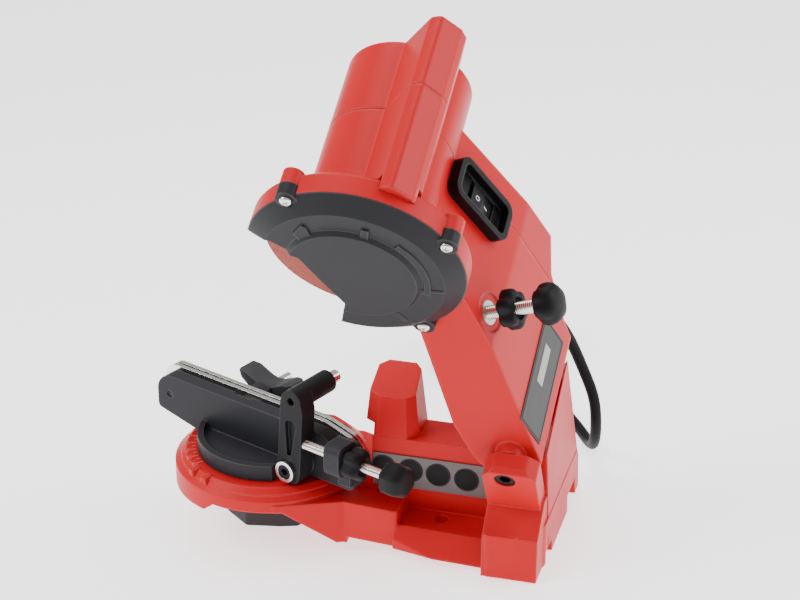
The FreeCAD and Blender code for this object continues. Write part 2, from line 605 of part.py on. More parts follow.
def placed(thing, place):
    thing.Placement = place.multiply(thing.Placement)
    return thing


def arm_solid(name, gap):
    volume = arm_volume(name, gap, SIDE_ROUNDS)
    seat = cylinder(name + "GuardSeat", "guard_radius + 0.2 + %s" % gap, "60", spot(wheel_x, wheel_y, guard_back - gap))
    ear_seats = ears(name + "EarSeat", "ear_radius + 0.2 + %s" % gap, guard_back - gap, "60")
    barrel = cylinder(name + "Barrel", "barrel_radius - %s" % gap, "guard_back - barrel_end - 2 * %s" % gap,
                      spot(wheel_x, wheel_y, barrel_end + gap))
    rib_points = inset(list(reversed(RIB)), gap)
    rib = prism(name + "Rib", rib_points, "118 - 2 * %s" % gap, spot(0, 0, -125 + gap),
                [max(r - gap, 0.5) for r in RIB_ROUNDS])
    # the guard and its lowest ear stand in a seat in the arm's front
    return cut(name + "Seated", fused(name + "Solid", volume, barrel, rib), seat, *ear_seats)


def housings():
    near_boss = cylinder("ArmNearBoss", "far_cheek_radius - 2.5", "cheek_inner - 12 - 2 * play", spot(hinge_x, hinge_y, 12))
    outer = fused("ArmBossed", arm_solid("ArmOuter", 0.0), near_boss)
    inner = arm_solid("ArmInner", shell_wall)
    hub = cylinder("ArmHub", "far_cheek_radius + 2", "cheek_inner + far_cheek_inner - 4 * play",
                   spot(hinge_x, hinge_y, -far_cheek_inner + 2 * play))
    front_boss = cylinder("FrontBearingBoss", "bearing_radius + 3", "10", spot(wheel_x, wheel_y, guard_back - 10))
    rear_boss = cylinder("RearBearingBoss", "bearing_radius + 3", "12", spot(wheel_x, wheel_y, barrel_end + 2))
    depth_boss = placed(cylinder("DepthBoss", "11", "16", spot(0, 0, -16)), depth_place(2.0))
    keep = fused("ArmKeep", hub, front_boss, rear_boss, depth_boss)
    hollow = cut("ArmHollow", inner, keep)
    slot = prism("CheekSlot", [(90, -30), (171.7, -30), (171.7, 11.5), (164.4, 31.5), (90, 31.5)],
                 "far_cheek_thick + 5", spot(0, 0, -far_cheek_inner - far_cheek_thick - 3.5))
    hinge_bore = through("ArmHingeBore", "hinge_radius + 0.4", hinge_x, hinge_y)
    shaft_bore = through("ArmShaftBore", "shaft_radius + 2", wheel_x, wheel_y)
    front_seat = cylinder("FrontSeat", "bearing_radius", "bearing_width", spot(wheel_x, wheel_y, guard_back - 10))
    rear_seat = cylinder("RearSeat", "bearing_radius", "bearing_width", spot(wheel_x, wheel_y, barrel_end + 14 - bearing_width))
    switch_hole = block("SwitchHole", "40", "22", "20", spot(-20, -11, -12))
    switch_hole.Placement = switch_place().multiply(switch_hole.Placement)
    rod_hole = placed(cylinder("DepthHole", "depth_radius + 1.5", "120", spot(0, 0, -90)), depth_place(0))
    insert_hole = placed(cylinder("DepthInsertHole", "7", "12", spot(0, 0, -12)), depth_place(0))
    face_cut = placed(cylinder("DepthFace", "11.2", "30", spot(0, 0, 0)), depth_place(0))
    window = placed(cylinder("DepthWindow", "9", "40", spot(0, 0, -58)), depth_place(0))
    gland_bore = cylinder("ArmGlandBore", "gland_radius", "24", spot(0, 0, -20))
    gland_bore.Placement = gland_place().multiply(gland_bore.Placement)
    tools = [hollow, slot, hinge_bore, shaft_bore, front_seat, rear_seat, switch_hole, rod_hole,
             insert_hole, face_cut, window, gland_bore]
    whole = cut("ArmWhole", outer, *tools)
    behind = block("BehindSeam", "400", "400", "200", spot(-100, -100, seam_level - 200))
    before = block("BeforeSeam", "400", "400", "200", spot(-100, -100, seam_level - seam_gap))
    node(cut("ArmHousingShape", whole, behind), "arm_housing", HEAD)
    node(cut("HeadCapShape", whole, before), "head_cap", HEAD)


def gland_place():
    """On the hinge's axis, where it leaves the arm's far face; Z level, away from the wheel."""
    lean = math.radians(head_tilt)
    return spot(hinge_x, hinge_y, gland_level, (0, -math.sin(lean), -math.cos(lean)))


def gland():
    ring = cylinder("GlandRing", "gland_radius", "10", spot(0, 0, -3))
    flare = cone("GlandFlare", "gland_radius", "gland_radius - 1.5", "2", spot(0, 0, 7))
    bore = cylinder("GlandBore", "grommet_radius + play", "60", spot(0, 0, -30))
    shape = cut("GlandShape", fused("GlandSolid", ring, flare), bore)
    shape.Placement = gland_place()
    node(shape, "cord_gland", HEAD)
    # a ball on the cord, about which the gland turns as the head swings
    ball = doc.addObject("Part::Sphere", "CordBall")
    bind(ball, Radius="grommet_radius")
    ball.Placement = gland_place()
    node(ball, "cord_grommet", HEAD)


OPENING = [(-20, 176), (23, 177.5), (35.6, 180.4), (47.4, 172), (51.5, 170.5), (58.6, 156), (66, 142),
           (71.5, 132), (69, 124), (65, 109), (60, 80), (-20, 80)]
EAR_ANGLES = (119.3, 26.7, -58.5)


def ears(name, radius, low, height):
    return [cylinder("%s%d" % (name, i), radius, height,
                     spot(wheel_x + ear_ring * math.cos(math.radians(a)),
                          wheel_y + ear_ring * math.sin(math.radians(a)), low))
            for i, a in enumerate(EAR_ANGLES)]


def guard():
    ring = cylinder("GuardRing", "guard_radius", "guard_seam - guard_back - guard_round",
                    spot(wheel_x, wheel_y, guard_back + guard_round))
    bevel = cone("GuardBevel", "guard_radius - guard_round", "guard_radius", "guard_round",
                 spot(wheel_x, wheel_y, guard_back))
    solid = fused("GuardSolid", ring, bevel, *ears("GuardEar", "ear_radius", guard_back + 2, "guard_seam - guard_back - ear_split - 2"))
    room = cylinder("GuardRoom", "guard_radius - guard_wall", "60", spot(wheel_x, wheel_y, guard_back + guard_wall))
    opening = prism("GuardOpening", list(reversed(OPENING)), "100", spot(0, 0, -50), 2.0)
    shaft_hole = through("GuardShaftHole", "17.5", wheel_x, wheel_y)
    ear_rooms = ears("GuardEarRoom", "ear_radius + 0.2", guard_seam - ear_split, "60")
    screw_holes = ears("GuardScrewHole", "cover_screw_radius", guard_back + 3, "60")
    node(cut("GuardShellShape", solid, room, opening, shaft_hole, *ear_rooms, *screw_holes),
         "guard_shell", HEAD)

    slope = cone("CoverSlope", "guard_radius", "guard_radius - cover_slope", "cover_shoulder",
                 spot(wheel_x, wheel_y, guard_seam))
    plateau = cone("CoverPlateau", "plateau_radius", "plateau_radius - plateau_rise", "plateau_rise",
                   spot(wheel_x, wheel_y, guard_seam + cover_shoulder))
    cover_ears = ears("CoverEar", "ear_radius", guard_seam - ear_split, "ear_split + 2.4")
    inside = cylinder("CoverEarInside", "guard_radius - guard_wall", "ear_split", spot(wheel_x, wheel_y, guard_seam - ear_split))
    trimmed = cut("CoverEarsTrimmed", fused("CoverEars", *cover_ears), inside)
    cover = fused("CoverSolid", slope, plateau, trimmed)
    room = cone("CoverRoom", "guard_radius - guard_wall", "guard_radius - cover_slope - guard_wall",
                "cover_shoulder - guard_wall", spot(wheel_x, wheel_y, guard_seam))
    room_top = cylinder("CoverRoomTop", "plateau_radius - guard_wall - plateau_rise", "plateau_rise + 1",
                        spot(wheel_x, wheel_y, guard_seam + cover_shoulder - guard_wall - 1))
    opening = prism("CoverOpening", list(reversed(OPENING)), "100", spot(0, 0, -50), 2.0)
    screw_holes = ears("CoverScrewHole", "cover_screw_radius", guard_seam - 20, "60")
    head_rooms = ears("CoverHeadRoom", "4.4", guard_seam + 2.4, "20")
    node(cut("CoverShape", cover, room, room_top, opening, *screw_holes, *head_rooms), "wheel_cover", HEAD)

    for i, angle in enumerate(EAR_ANGLES):
        x = wheel_x + ear_ring * math.cos(math.radians(angle))
        y = wheel_y + ear_ring * math.sin(math.radians(angle))
        top_z = guard_seam + 2.4
        shank = cylinder("ScrewShank%d" % i, "cover_screw_radius", "16", spot(x, y, top_z - 16))
        head = cylinder("ScrewHead%d" % i, "3.6", "2.2", spot(x, y, top_z))
        node(fused("CoverScrewShape%d" % i, shank, head), "cover_screw_%d" % (i + 1), HEAD)


# ---- motor and wheel -----------------------------------------------------------------------------

def motor():
    low = -98.0
    stator = cylinder("StatorOuter", "stator_radius", "50", spot(wheel_x, wheel_y, low))
    tunnel = through("StatorTunnel", "rotor_radius + 0.7", wheel_x, wheel_y)
    ring_cut = cut("StatorShape", stator, tunnel)
    node(ring_cut, "motor_stator", HEAD)
    for label, low_z in (("front_bearing", guard_back - 10), ("rear_bearing", barrel_end + 14 - bearing_width)):
        race = cylinder(label + "Race", "bearing_radius", "bearing_width", spot(wheel_x, wheel_y, low_z))
        bore = through(label + "Bore", "shaft_radius + run_fit", wheel_x, wheel_y)
        node(cut(label + "Shape", race, bore), label, HEAD)

    shaft = cylinder("ShaftRod", "shaft_radius", "120", spot(wheel_x, wheel_y, -119.5))
    node(shaft, "motor_shaft", HEAD)
    for label, radius, low_z, height in (("rotor", "rotor_radius", low + 2, "46"),
                                         ("commutator", "9", -107.5, "9"),
                                         ("cooling_fan", "27", -44, "8"),
                                         ("inner_flange", "16", wheel_level - wheel_thick / 2 - 3, "3"),
                                         ("outer_flange", "16", wheel_level + wheel_thick / 2, "3")):
        disc = cylinder(label + "Disc", radius, height, spot(wheel_x, wheel_y, low_z))
        bore = through(label + "Bore", "shaft_radius", wheel_x, wheel_y)
        node(cut(label + "Shape", disc, bore), label, HEAD)
    wheel = cylinder("WheelDisc", "wheel_radius", "wheel_thick", spot(wheel_x, wheel_y, wheel_level - wheel_thick / 2))
    hole = through("WheelBore", "shaft_radius", wheel_x, wheel_y)
    node(cut("WheelShape", wheel, hole), "grinding_wheel", HEAD)
    nut_low = wheel_level + wheel_thick / 2 + 3
    nut = prism("WheelNutBody", hexagon(7), "5", spot(wheel_x, wheel_y, nut_low))
    nut_bore = through("WheelNutBore", "shaft_radius", wheel_x, wheel_y)
    node(cut("WheelNutShape", nut, nut_bore), "wheel_nut", HEAD)


# ---- switch --------------------------------------------------------------------------------------

ROCKER_X = 3.0                                 # rocker from the frame's middle, down the face


def switch():
    place = switch_place()
    frame = prism("SwitchFrameBody", [(-26.5, -13), (26.5, -13), (26.5, 13), (-26.5, 13)], "7",
                  spot(0, 0, 0), 7.0)
    recess = prism("SwitchRecess", [(-22.5, -9.5), (22.5, -9.5), (22.5, 9.5), (-22.5, 9.5)], "20",
                   spot(0, 0, 1.2), 4.0)
    window = block("SwitchWindow", "24", "16", "20", spot(ROCKER_X - 12, -8, -5))
    shape = cut("SwitchFrameShape", frame, recess, window)
    shape.Placement = place
    node(shape, "switch_frame", HEAD)
    body = block("SwitchBodyBlock", "24", "16", "14", spot(ROCKER_X - 12, -8, -14))
    room = block("SwitchBodyRoom", "21.4", "13.4", "20", spot(ROCKER_X - 10.7, -6.7, -8))
    # the rocker tips on a pin across the case
    pivot = cylinder("SwitchPivot", "pivot_radius", "15", spot(ROCKER_X, -7.5, pivot_drop, (0, 1, 0)))
    case = fused("SwitchBodyShape", cut("SwitchBodyCase", body, room), pivot)
    case.Placement = place
    node(case, "switch_body", HEAD)
    rocker = prism("RockerBody", [(-10, -5.5), (10, -5.5), (10, 0.6), (0, 2.6), (-10, 2.6)], "12.4",
                   FreeCAD.Placement(V(0, 6.2, 0), FreeCAD.Rotation(V(1, 0, 0), 90)), 0.5)
    rocker.Placement = place.multiply(spot(ROCKER_X, 0, 0)).multiply(rocker.Placement)
    bore = cylinder("RockerBore", "pivot_radius + run_fit", "40", place.multiply(
        spot(ROCKER_X, -20, pivot_drop, (0, 1, 0))))
    node(cut("RockerShape", rocker, bore), "switch_rocker", HEAD)


# ---- depth screw, rating plate -------------------------------------------------------------------

def depth_hardware():
    insert = cylinder("InsertBody", "7", "12", spot(0, 0, -12))
    bore = cylinder("InsertBore", "depth_radius + run_fit", "40", spot(0, 0, -20))
    node(placed(cut("DepthInsertShape", insert, bore), depth_place(0)), "depth_insert", HEAD)
    node(placed(cylinder("DepthRod", "depth_radius", "74", spot(0, 0, -40)), depth_place(0)), "depth_screw", HEAD)
    node(lobed("DepthLock", "knob_radius", "10", 6, depth_place(9.5), "depth_radius + run_fit"),
         "depth_lock_knob", HEAD)
    knob = lobed("DepthGrip", "knob_radius", "14", 6, depth_place(32), None)
    socket = placed(cylinder("DepthGripSocket", "depth_radius + run_fit", "40", spot(0, 0, -6)), depth_place(0))
    node(cut("DepthKnobShape", knob, socket), "depth_knob", HEAD)


def rating_plate():
    up = (V(*ARM_SIDE[2], 0) - V(*ARM_SIDE[1], 0)).normalize()
    out = V(up.y, -up.x, 0)
    corner = V(*ARM_SIDE[1], 0) + up * 9.0
    place = FreeCAD.Placement(V(corner.x, corner.y, -54), FreeCAD.Rotation(up, V(0, 0, -1), out, "XYZ"))
    plate = block("RatingPlateBody", "27", "71", "0.6", spot(0, -71, -0.6))
    plate.Placement = place.multiply(plate.Placement)
    node(plate, "rating_plate", HEAD)


# ---- mains cord ----------------------------------------------------------------------------------

# the hand-chosen route, in the base frame, from inside the gland to the coil
ROUTE = [(160.5, 27.5, 118.8), (160.5, 46.5, 119.3), (163.4, 63.8, 109.9), (170.2, 73.0, 93.5),
         (179.0, 76.0, 71.5), (187.3, 74.2, 53.0), (189.0, 74.0, 33.5), (186.6, 83.2, 15.7),
         (180.6, 103.0, 3.7), (169.0, 123.0, 3.7), (153.0, 146.0, 3.7), (134.0, 168.0, 3.7),
         (111.0, 184.5, 3.7), (86.0, 190.5, 3.7)]
COIL_X = 86.0
COIL_Y = 226.0


def cord_path(points):
    """Straight runs joined by tangent arcs, each as large as its two runs allow."""
    edges = []
    start = points[0]
    for a, b, c in zip(points, points[1:], points[2:]):
        into = (b - a).normalize()
        away = (c - b).normalize()
        turn = into.getAngle(away)
        reach = 0.45 * min((b - a).Length, (c - b).Length)
        radius = reach / math.tan(turn / 2)
        print("cord radius %.1f, turn %.0f" % (radius, math.degrees(turn)))
        bow = (away - into).normalize() * (radius / math.cos(turn / 2) - radius)
        first = b - into * reach
        last = b + away * reach
        edges.append(Part.LineSegment(start, first).toShape())
        edges.append(Part.Arc(first, b + bow, last).toShape())
        start = last
    edges.append(Part.LineSegment(start, points[-1]).toShape())
    return Part.Wire(edges)


def cord():
    points = [V(*p) for p in ROUTE]
    path = cord_path(points)
    first = (points[1] - points[0]).normalize()
    ring = Part.Wire(Part.makeCircle(cord_radius, points[0], first))
    tube = path.makePipeShell([ring], True, True)
    tube = tube if tube.ShapeType == "Solid" else Part.Solid(tube)
    section = math.pi * cord_radius ** 2
    print("cord tube length %.0f, volume %.0f of %.0f" % (path.Length, tube.Volume, section * path.Length))
    feature = doc.addObject("Part::Feature", "CordTubeShape")
    feature.Shape = tube
    node(feature, "cord_tube", BASE)

    coil = doc.addObject("Part::Torus", "CordCoilRing")
    bind(coil, Radius1="coil_radius", Radius2="coil_round")
    coil.Placement = spot(COIL_X, COIL_Y, coil_round)
    node(coil, "cord_coil", BASE)

    # the plug lies on the coil
    body = prism("PlugBody", [(-26, -5), (-12, -6), (0, -13), (14, -13), (14, 13), (0, 13), (-12, 6), (-26, 5)],
                 "15", FreeCAD.Placement(), [2, 3, 6, 3, 3, 6, 3, 2])
    prongs = [cylinder("PlugProng%d" % i, "2.4", "19.5", spot(13.5, side * 9.5, 7.5, (1, 0, 0)))
              for i, side in enumerate((-1, 1))]
    plug = fused("PlugShape", body, *prongs)
    plug.Placement = FreeCAD.Placement(V(COIL_X - 10, COIL_Y - 10, 2 * coil_round),
                                       FreeCAD.Rotation(V(0, 0, 1), 30))
    node(plug, "cord_plug", BASE)


base_casting()
hinge_hardware()
pictogram_strip()
swivel_hardware()
turntable()
rail("NearRail", "near_rail", -slot_half)
rail("FarRail", "far_rail", rail_out)
far_jaw()
clamp_hardware()
stop_lever()
adjuster()
housings()
gland()
guard()
motor()
switch()
depth_hardware()
rating_plate()
cord()

doc.recompute()
for thing in doc.Objects:
    if "Invalid" in thing.State or "Error" in thing.State:
        raise RuntimeError("failed: " + thing.Name)
os.makedirs("parts", exist_ok=True)
for thing in nodes:
    if thing.Shape.isNull() or not thing.Shape.isValid() or not thing.Shape.Solids:
        raise RuntimeError("bad shape: " + thing.Label)
for thing in nodes:
    print("%-18s solids %d volume %.0f" % (thing.Label, len(thing.Shape.Solids), thing.Shape.Volume))
    thing.Shape.exportStep("parts/%s.step" % thing.Label)
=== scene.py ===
import math

import bpy
import bmesh
from mathutils import Matrix, Vector


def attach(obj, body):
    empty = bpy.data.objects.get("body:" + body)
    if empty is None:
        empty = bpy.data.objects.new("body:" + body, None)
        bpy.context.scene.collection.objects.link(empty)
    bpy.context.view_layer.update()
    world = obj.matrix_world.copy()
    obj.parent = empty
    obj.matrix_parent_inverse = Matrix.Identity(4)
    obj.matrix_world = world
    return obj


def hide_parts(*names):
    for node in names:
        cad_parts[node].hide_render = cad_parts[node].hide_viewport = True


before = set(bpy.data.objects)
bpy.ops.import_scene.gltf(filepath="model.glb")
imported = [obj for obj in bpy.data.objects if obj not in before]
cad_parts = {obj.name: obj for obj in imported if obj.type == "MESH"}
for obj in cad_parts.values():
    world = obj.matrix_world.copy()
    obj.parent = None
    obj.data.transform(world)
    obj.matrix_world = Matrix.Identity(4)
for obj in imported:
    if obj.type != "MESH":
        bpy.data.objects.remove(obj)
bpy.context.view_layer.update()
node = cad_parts


# ---- base casting ----------------------------------------------------------
# The base is one ribbed moulding in red glass-filled nylon: a round front for the vise, a ledge,
# a stop block and the tower that carries the hinge. An angle scale is moulded on its rim, and two
# bolts hold it to the bench's edge.

def paint(red, green, blue):
    """A colour from a paint chart, 0 to 255, as the shader wants it."""
    return tuple((c / 255 / 12.92 if c < 11 else ((c / 255 + 0.055) / 1.055) ** 2.4)
                 for c in (red, green, blue)) + (1.0,)


def shaded(colour, factor):
    """A colour made darker or lighter."""
    return tuple(min(1.0, c * factor) for c in colour[:3]) + (1.0,)


def blank(name):
    """A new finish, its shader and its node tree."""
    finish = bpy.data.materials.new(name)
    finish.use_nodes = True
    return finish, finish.node_tree.nodes["Principled BSDF"], finish.node_tree


def feed(tree, made, **inputs):
    """Give a shader node values or other nodes' outputs; _ in a name stands for a space."""
    for name, value in inputs.items():
        socket = made.inputs[name.replace("_", " ")]
        if isinstance(value, bpy.types.NodeSocket):
            tree.links.new(value, socket)
        else:
            socket.default_value = value
    return made


def knit(tree, kind, **inputs):
    """A new shader node with its inputs; a Mix blends colours."""
    made = tree.nodes.new("ShaderNode" + kind)
    if kind == "Mix":
        made.data_type = "RGBA"
    return feed(tree, made, **inputs)


def moulded(name, colour, edge_highlight_colour, roughness, grain=0.1, corner=0.0009, mottle=0.1):
    """Moulded plastic: faint flow mottling, spark-eroded grain, and a painted highlight that
    lightens the corners.
    """
    finish, shader, tree = blank(name)
    place = knit(tree, "TexCoord").outputs["Object"]
    flow = knit(tree, "TexNoise", Vector=place, Scale=28.0, Detail=5.0).outputs["Fac"]
    cloud = knit(tree, "Mix", Factor=flow, A=shaded(colour, 1 - mottle),
                 B=shaded(colour, 1 + mottle)).outputs["Result"]
    rounding = knit(tree, "Bevel", Radius=corner)
    rounding.samples = 6
    soft = rounding.outputs["Normal"]
    # painted highlight: where the rounded normal turns away from the flat one, the colour is
    # lightened towards the edge colour, as if the corners caught the light
    flat = knit(tree, "NewGeometry").outputs["Normal"]
    between = knit(tree, "VectorMath")
    between.operation = "DOT_PRODUCT"
    tree.links.new(soft, between.inputs[0])
    tree.links.new(flat, between.inputs[1])
    edge_highlight_mask = knit(tree, "MapRange", Value=between.outputs["Value"], From_Min=0.995, From_Max=0.86,
               To_Min=0.0, To_Max=0.55).outputs["Result"]
    edge_lit_colour = knit(tree, "Mix", Factor=edge_highlight_mask, A=cloud, B=edge_highlight_colour).outputs["Result"]
    dull = knit(tree, "MapRange", Value=flow, To_Min=roughness - 0.06,
                To_Max=roughness + 0.08).outputs["Result"]
    pits = knit(tree, "TexNoise", Vector=place, Scale=1500.0, Detail=2.0).outputs["Fac"]
    relief = knit(tree, "Bump", Strength=grain, Distance=0.0002, Height=pits,
                  Normal=soft).outputs["Normal"]
    feed(tree, shader, Base_Color=edge_lit_colour, Roughness=dull, Normal=relief, Specular_IOR_Level=0.12)
    return finish


def dress(names, finish):
    """Give CAD nodes their finish."""
    for name in names:
        mesh = node[name].data
        mesh.materials.clear()
        mesh.materials.append(finish)
        mesh.polygons.foreach_set("material_index", [0] * len(mesh.polygons))


red = moulded("red nylon", paint(194, 24, 30), paint(230, 80, 78), 0.40, grain=0.10,
              corner=0.0016, mottle=0.05)
dress(["base_casting"], red)

# the base's own frame: millimetres, with its origin under the swivel's axis
mm = Matrix.Scale(0.001, 4)
swivel_x = -0.115
base_place = Matrix.Translation((swivel_x, 0, 0)) @ mm


def piece(name, corners, faces, place, finish, body, slot, smooth=40):
    """A mesh from corners in a frame, riding on a body, shaded smooth below an angle."""
    mesh = bpy.data.meshes.new(name)
    mesh.from_pydata([place @ Vector(c) for c in corners], [], faces)
    shaper = bmesh.new()
    shaper.from_mesh(mesh)
    bmesh.ops.recalc_face_normals(shaper, faces=shaper.faces)
    for edge in shaper.edges:
        edge.smooth = len(edge.link_faces) < 2 or edge.calc_face_angle(0.0) < math.radians(smooth)
    for face in shaper.faces:
        face.smooth = True
    shaper.to_mesh(mesh)
    shaper.free()
    mesh.materials.append(finish)
    thing = bpy.data.objects.new(name, mesh)
    bpy.context.scene.collection.objects.link(thing)
    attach(thing, body)
    return thing


def band(first, count, rows=1):
    """Faces round a stack of rows of corners, each of this count, from the first corner on."""
    return [(low + i, low + (i + 1) % count, low + count + (i + 1) % count, low + count + i)
            for low in range(first, first + rows * count, count) for i in range(count)]


def lids(first, count, rows=1):
    """The same stack's bottom and top faces."""
    top = first + rows * count
    return [list(range(first, first + count))[::-1], list(range(top, top + count))]


def slabs(outlines):
    """Corners and faces of closed slabs: (outline, low, high) for each."""
    corners, faces = [], []
    for outline, low, high in outlines:
        first, count = len(corners), len(outline)
        corners += [(x, y, low) for x, y in outline] + [(x, y, high) for x, y in outline]
        faces += lids(first, count) + band(first, count)
    return corners, faces


def strip_of(x0, y0, x1, y1):
    """The outline of a rectangle."""
    return [(x0, y0), (x1, y0), (x1, y1), (x0, y1)]


def spun(outline, turn):
    """An outline turned about its frame's axis."""
    c, s = math.cos(turn), math.sin(turn)
    return [(c * x - s * y, s * x + c * y) for x, y in outline]


# the scale has a tick for each five degrees and a longer one for each ten
scale_middle = 184
tick_start, tick_half, tick_foot, tick_head = 47.0, 0.36, 32.4, 33.1
ticks = []
for step in range(-8, 9):
    reach = 50.6 if step % 2 == 0 else 49.2
    tick = strip_of(tick_start, -tick_half, reach, tick_half)
    ticks.append((spun(tick, math.radians(scale_middle + step * 5)), tick_foot, tick_head))
# the scale's ticks and numbers are coloured a paler red than the rim
pale_red = moulded("pale red nylon", paint(232, 96, 92), paint(240, 150, 146), 0.45,
                   corner=0.0002)
piece("angle_ticks", *slabs(ticks), base_place, pale_red, "base", "red_plastic")

# two drafted ribs beside the notch in the rim, where the scale ends: the two ends of each
rib_ends = (((-37.5, -43.5), (-33.6, -39.0)), ((-27.2, -50.8), (-24.2, -45.2)))
for i, rib in enumerate(rib_ends):
    start, end = (Vector(at) for at in rib)
    run = (end - start).normalized()
    side = Vector((-run.y, run.x))
    rib_corners = []
    for at, level, half in ((start, 27.0, 3.6), (start, 32.4, 1.8),
                            (end, 33.4, 1.8), (end, 31.0, 3.6)):
        rib_corners += [(*(at + side * half), level), (*(at - side * half), level)]
    piece("rim_rib_%d" % (i + 1), rib_corners,
          [(0, 1, 3, 2), (2, 3, 5, 4), (4, 5, 7, 6), (0, 2, 4, 6), (1, 7, 5, 3), (0, 6, 7, 1)],
          base_place, red, "base", "red_plastic")

# a number at each ten degrees, outside the ticks
number_ring, number_level = 0.0526, 0.0325
for step in range(-4, 5):
    turn = math.radians(scale_middle + step * 10)
    words = bpy.data.curves.new("angle_%d" % (step + 4), "FONT")
    words.body = str(abs(step) * 10)
    words.size = 0.0042
    words.extrude = 0.0004
    words.align_x = "CENTER"
    words.align_y = "CENTER"
    number = bpy.data.objects.new("angle_number_%d" % (step + 4), words)
    bpy.context.scene.collection.objects.link(number)
    centre = (swivel_x + number_ring * math.cos(turn), number_ring * math.sin(turn), number_level)
    number.matrix_world = (Matrix.Translation(centre)
                           @ Matrix.Rotation(turn + math.pi / 2, 4, "Z"))
    words.materials.append(pale_red)
    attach(number, "base")


# ---- strip on the ledge ----------------------------------------------------
# A thin grey aluminium strip glued to the ledge's wall. It carries a row of four plain dark round
# fields, each in a thin raised rim.

def sheet_metal(name, colour, roughness, scale):
    """Anodised sheet: fine rolled lines along X."""
    finish, shader, tree = blank(name)
    place = knit(tree, "TexCoord").outputs["Object"]
    stretch = knit(tree, "Mapping", Vector=place, Scale=scale).outputs["Vector"]
    lines = knit(tree, "TexNoise", Vector=stretch, Scale=900.0).outputs["Fac"]
    tone = knit(tree, "Mix", Factor=lines, A=shaded(colour, 0.85),
                B=shaded(colour, 1.15)).outputs["Result"]
    relief = knit(tree, "Bump", Strength=0.12, Distance=0.0001, Height=lines).outputs["Normal"]
    feed(tree, shader, Base_Color=tone, Metallic=0.35, Roughness=roughness, Normal=relief)
    return finish


strip_grey = sheet_metal("anodised grey", paint(94, 86, 86), 0.45, (0.05, 1.0, 1.0))
dress(["pictogram_strip"], strip_grey)


def along(place, origin, axis):
    """A frame in another one, its Z along the axis."""
    turn = Vector((0, 0, 1)).rotation_difference(Vector(axis)).to_matrix().to_4x4()
    return place @ Matrix.Translation(origin) @ turn


def ring_of(radius, count):
    """The outline of a circle."""
    return [(radius * math.cos(2 * math.pi * i / count), radius * math.sin(2 * math.pi * i / count))
            for i in range(count)]


def turned(name, profile, place, finish, body, slot):
    """A round piece from its (radius, height) profile; radius 0 closes an end."""
    count = 48
    corners, rows, faces = [], [], []
    for radius, height in profile:
        if radius == 0:
            rows.append([len(corners)])
            corners.append((0, 0, height))
        else:
            rows.append([len(corners) + i for i in range(count)])
            corners += [(x, y, height) for x, y in ring_of(radius, count)]
    for low, high in zip(rows, rows[1:]):
        for i in range(count):
            j = (i + 1) % count
            if len(low) == 1 and len(high) > 1:
                faces.append((low[0], high[j], high[i]))
            elif len(high) == 1 and len(low) > 1:
                faces.append((low[i], low[j], high[0]))
            elif len(low) > 1:
                faces.append((low[i], low[j], high[j], high[i]))
    return piece(name, corners, faces, place, finish, body, slot, 35)


field_black = moulded("field black", paint(24, 23, 25), paint(52, 52, 54), 0.5, corner=0.0002)
field_rim = moulded("field rim", paint(44, 42, 44), paint(72, 72, 74), 0.4, corner=0.0002)
field_profile = [(0, 0.12), (6.6, 0.12), (6.8, 0.05), (6.8, -0.2)]
rim_profile = [(6.8, -0.2), (6.8, 0.22), (7.0, 0.3), (7.5, 0.3), (7.7, 0.2), (7.7, -0.2)]
strip_face = -21.0
for i, (x, z) in enumerate(((77.6, 40.6), (94.3, 40.2), (111.3, 39.6), (128.8, 39.0))):
    spot = along(base_place, (x, strip_face, z), (0, -1, 0))
    turned("strip_field_%d" % (i + 1), field_profile, spot, field_black, "base", "black_plastic")
    turned("strip_ring_%d" % (i + 1), rim_profile, spot, field_rim, "base", "black_plastic")


# ---- hinge bolt and nut ----------------------------------------------------
# A blackened socket-head bolt passes through both cheeks of the tower and carries the arm; its
# nut sits in the far cheek.

def metal(name, colour, roughness, grain=0.05, scratch=(1.0, 1.0, 1.0)):
    """Machined metal: brushed or turned marks in its gloss and relief."""
    finish, shader, tree = blank(name)
    place = knit(tree, "TexCoord").outputs["Object"]
    stretch = knit(tree, "Mapping", Vector=place, Scale=scratch).outputs["Vector"]
    marks = knit(tree, "TexNoise", Vector=stretch, Scale=700.0, Detail=4.0).outputs["Fac"]
    gloss = knit(tree, "MapRange", Value=marks, To_Min=max(0.02, roughness - 0.07),
                 To_Max=roughness + 0.1).outputs["Result"]
    tone = knit(tree, "Mix", Factor=marks, A=shaded(colour, 0.9), B=colour).outputs["Result"]
    rounding = knit(tree, "Bevel", Radius=0.0003)
    rounding.samples = 4
    relief = knit(tree, "Bump", Strength=grain, Distance=0.0001, Height=marks,
                  Normal=rounding.outputs["Normal"]).outputs["Normal"]
    feed(tree, shader, Base_Color=tone, Metallic=1.0, Roughness=gloss, Normal=relief)
    return finish


black_oxide = metal("black oxide steel", paint(46, 46, 50), 0.38)
dress(["hinge_bolt", "hinge_nut"], black_oxide)


# ---- arm housing and motor cap ---------------------------------------------
# The arm and the motor's rear cap are two red mouldings that meet at a fine seam and are screwed
# together from behind. The cap's end has air slots, drawn here as thin dark bars of painted shade
# where the open slots would look dark.

arm_red = moulded("arm red nylon", paint(194, 25, 31), paint(234, 88, 86), 0.34, grain=0.08,
                  corner=0.0022, mottle=0.04)
dress(["arm_housing", "head_cap"], arm_red)
black = moulded("black nylon", paint(20, 20, 22), paint(58, 58, 62), 0.42, grain=0.14,
                corner=0.0008)

# the head's own frame: millimetres, turned by 120 degrees about X, with Z along the wheel's axis
lean_sine, lean_cosine = math.sqrt(3) / 2, -0.5
head_turn = Matrix(((1, 0, 0, 0), (0, lean_cosine, -lean_sine, 0),
                    (0, lean_sine, lean_cosine, 0), (0, 0, 0, 1)))
head_place = Matrix.Translation((-0.1108, -0.0151, 0.0712)) @ head_turn @ mm
wheel_x, wheel_y = 79.6, 158.7

